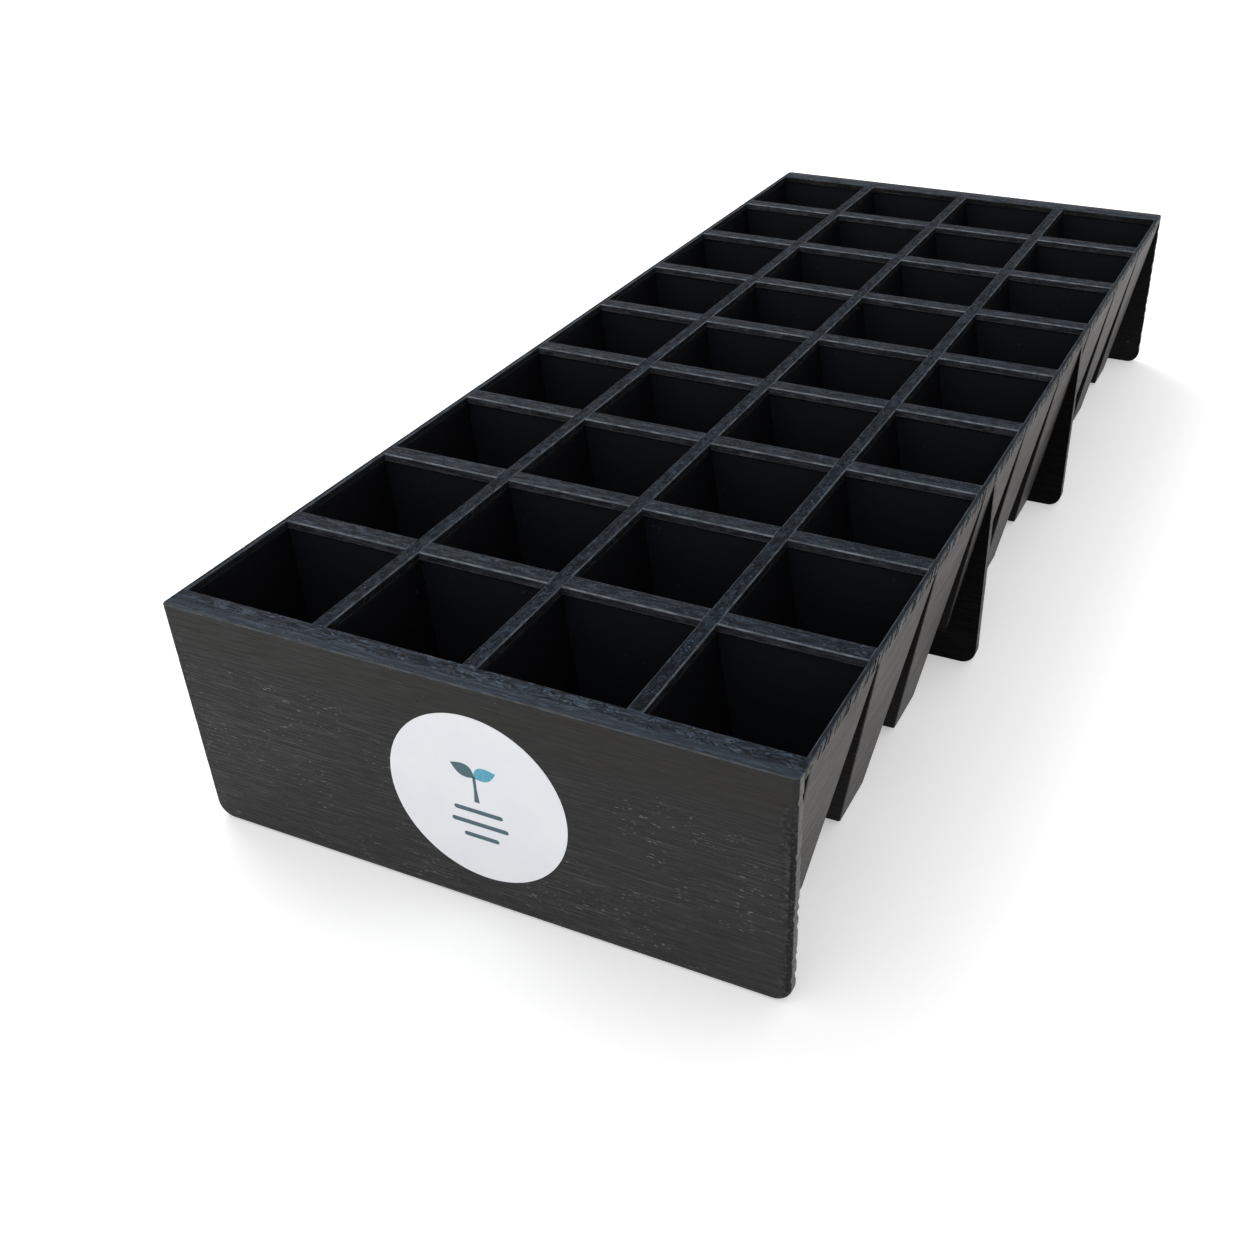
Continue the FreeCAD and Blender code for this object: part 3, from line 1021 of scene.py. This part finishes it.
@dataclass
class PrintedLabel:
    """The round label on the front plate: a thin disc with a print on it."""

    sheet_share: float = 0.8       # of the node's thickness; the print takes some of the rest
    print_share: float = 0.96      # how far out the print's face lies
    rim_steps: int = 144
    emblem: Emblem = field(default_factory=Emblem)
    paper: LabelPaper = LabelPaper()
    dark_ink: PrintInk = PrintInk("slate_ink", (0.035, 0.085, 0.105))
    light_ink: PrintInk = PrintInk("leaf_ink", (0.06, 0.30, 0.42))

    def build(self) -> list[bpy.types.Object]:
        """Build the disc and its print, and put them on the frame.

        Returns:
            The new pieces.
        """
        low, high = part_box("round_label")
        middle = (low + high) / 2
        depth = high.y - low.y
        sheet_face = high.y - depth * self.sheet_share
        print_face = high.y - depth * self.print_share
        disc = self.disc(middle, (high.x - low.x) / 2, high.y, sheet_face)
        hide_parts("round_label")
        pieces = [disc]
        shapes = {"seedling_stem": (self.emblem.stem(), self.dark_ink),
                  "seedling_leaf_left": (self.emblem.leaf(-1), self.dark_ink),
                  "seedling_leaf_right": (self.emblem.leaf(1), self.light_ink)}
        for index, length in enumerate(self.emblem.line_lengths):
            centre = Vector((0.0, self.emblem.base - (index + 0.75) * self.emblem.line_pitch))
            outline = self.emblem.bar(centre, length, self.emblem.line_width)
            shapes[f"soil_line_{index + 1}"] = (outline, self.dark_ink)
        inks = {ink.name: ink.material() for ink in (self.dark_ink, self.light_ink)}
        for name, (outline, ink) in shapes.items():
            piece = self.inlay(name, outline, middle, sheet_face, print_face)
            piece.data.materials.append(inks[ink.name])
            pieces.append(piece)
        disc.data.materials.append(self.paper.material())
        for piece in pieces:
            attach(piece, BODY)
            LOG.info("built %s", piece.name)
        return pieces

    def disc(self, middle: Vector, radius: float, back: float, face: float) -> bpy.types.Object:
        """Build the label's sheet, whose rim is rolled over a little.

        Args:
            middle: The label's middle.
            radius: Its radius.
            back: Where its back lies, along the tray.
            face: Where its face lies, along the tray.

        Returns:
            The disc.
        """
        depth = back - face
        rings = ((radius, back), (radius, back - 0.35 * depth),
                 (radius - 0.12 * MM, face + 0.12 * depth),
                 (radius - 0.3 * MM, face), (radius * 0.9, face))
        mesh = bmesh.new()
        loops = []
        for size, y in rings:
            loop = []
            for step in range(self.rim_steps):
                angle = 2 * math.pi * step / self.rim_steps
                place = (middle.x + size * math.cos(angle), y, middle.z + size * math.sin(angle))
                loop.append(mesh.verts.new(place))
            loops.append(loop)
        for outer, inner in zip(loops, loops[1:]):
            for step in range(self.rim_steps):
                after = (step + 1) % self.rim_steps
                mesh.faces.new((outer[step], outer[after], inner[after], inner[step]))
        mesh.faces.new(loops[-1])
        mesh.faces.new(loops[0][::-1])
        return self.finish_mesh("label_sheet", mesh)

    def inlay(self, name: str, outline: list[Vector], middle: Vector, back: float,
              face: float) -> bpy.types.Object:
        """Build one printed shape.

        Args:
            name: The piece's name.
            outline: Its outline, from the label's middle.
            middle: The label's middle.
            back: Where its back lies, along the tray.
            face: Where its face lies, along the tray.

        Returns:
            The printed shape.
        """
        mesh = bmesh.new()
        rear = [mesh.verts.new((middle.x + p.x, back, middle.z + p.y)) for p in outline]
        front = [mesh.verts.new((middle.x + p.x, face, middle.z + p.y)) for p in outline]
        mesh.faces.new(front)
        mesh.faces.new(rear[::-1])
        count = len(outline)
        for step in range(count):
            after = (step + 1) % count
            mesh.faces.new((rear[step], rear[after], front[after], front[step]))
        return self.finish_mesh(name, mesh)

    def finish_mesh(self, name: str, mesh: bmesh.types.BMesh) -> bpy.types.Object:
        """Turn a mesh's faces outwards and link it as an object.

        Args:
            name: The object's name.
            mesh: Its mesh.

        Returns:
            The object.
        """
        bmesh.ops.recalc_face_normals(mesh, faces=mesh.faces)
        data = bpy.data.meshes.new(name)
        mesh.to_mesh(data)
        mesh.free()
        piece = bpy.data.objects.new(name, data)
        bpy.context.scene.collection.objects.link(piece)
        return piece


# ---------------------------------------------------------------------------------------------
# Studio
# ---------------------------------------------------------------------------------------------


@dataclass(frozen=True)
class SoftLight:
    """A large square lamp that looks at the tray."""

    name: str
    place: tuple[float, float, float]
    side: float
    power: float
    colour: Colour = (1.0, 1.0, 1.0)

    def build(self, target: Vector) -> None:
        """Hang the lamp.

        Args:
            target: The point that it looks at.
        """
        data = bpy.data.lights.new(self.name, "AREA")
        data.shape = "SQUARE"
        data.size = self.side
        data.energy = self.power
        data.color = self.colour
        lamp = bpy.data.objects.new(self.name, data)
        lamp.location = self.place
        lamp.rotation_euler = (target - lamp.location).to_track_quat("-Z", "Y").to_euler()
        bpy.context.scene.collection.objects.link(lamp)
        LOG.info("hung %s", self.name)


@dataclass(frozen=True)
class Viewpoint:
    """The camera: where it stands, how it is turned, and its lens."""

    place: tuple[float, float, float] = (0.2310, -0.5470, 0.3456)
    heading: float = 24.126        # degrees from +Y towards -X
    pitch: float = -29.526
    roll: float = -0.699
    lens: float = 41.73
    shift: tuple[float, float] = (-0.1105, -0.0901)

    def build(self) -> None:
        """Set up the scene's camera."""
        data = bpy.data.cameras.new("camera")
        data.sensor_width = 36.0
        data.lens = self.lens
        data.shift_x, data.shift_y = self.shift
        data.clip_start = 0.01
        camera = bpy.data.objects.new("camera", data)
        turn = Matrix.Rotation(math.radians(self.heading), 4, "Z")
        tilt = Matrix.Rotation(math.radians(90.0 + self.pitch), 4, "X")
        lean = Matrix.Rotation(math.radians(self.roll), 4, "Z")
        camera.matrix_world = Matrix.Translation(self.place) @ turn @ tilt @ lean
        bpy.context.scene.collection.objects.link(camera)
        bpy.context.scene.camera = camera


@dataclass
class Studio:
    """The pale floor, the soft light and the camera."""

    floor_side: float = 16.0
    floor_colour: Colour = (0.94, 0.94, 0.94)
    floor_glow: float = 0.345
    sky: float = 0.82
    lights: tuple[SoftLight, ...] = (
        SoftLight("key_light", (-1.1, 0.7, 1.5), 1.4, 20.0),
    )
    viewpoint: Viewpoint = Viewpoint()

    def build(self) -> None:
        """Set up the floor, the sky, the lamps and the camera."""
        self.viewpoint.build()
        self.build_floor()
        self.build_sky()
        low, high = CAD_BOX
        middle = (Vector(low) + Vector(high)) / 2
        for light in self.lights:
            light.build(middle)

    def build_floor(self) -> None:
        """Lay the floor under the tray."""
        mesh = bmesh.new()
        bmesh.ops.create_grid(mesh, x_segments=8, y_segments=8, size=self.floor_side / 2)
        data = bpy.data.meshes.new("floor")
        mesh.to_mesh(data)
        mesh.free()
        floor = bpy.data.objects.new("floor", data)
        bpy.context.scene.collection.objects.link(floor)
        material = bpy.data.materials.new("studio_floor")
        material.use_nodes = True
        shader = material.node_tree.nodes["Principled BSDF"]
        shader.inputs["Base Color"].default_value = (*self.floor_colour, 1.0)
        shader.inputs["Roughness"].default_value = 0.9
        shader.inputs["Specular IOR Level"].default_value = 0.0
        shader.inputs["Emission Color"].default_value = (1.0, 1.0, 1.0, 1.0)
        shader.inputs["Emission Strength"].default_value = self.floor_glow
        data.materials.append(material)

    def build_sky(self) -> None:
        """Light the studio evenly from all sides."""
        world = bpy.data.worlds.new("studio")
        world.use_nodes = True
        background = world.node_tree.nodes["Background"]
        background.inputs["Color"].default_value = (1.0, 1.0, 1.0, 1.0)
        background.inputs["Strength"].default_value = self.sky
        bpy.context.scene.world = world
        bpy.context.scene.view_settings.view_transform = "Standard"


def main() -> None:
    """Build the studio, then dress and detail each sub-assembly in turn."""
    logging.basicConfig(level=logging.INFO, format="%(message)s")
    Studio().build()
    effects = Effects()
    Uprights().dress(effects)
    TopGrid().dress(effects)
    CupField().dress(effects)
    PrintedLabel().build()


if __name__ == "__main__":
    main()
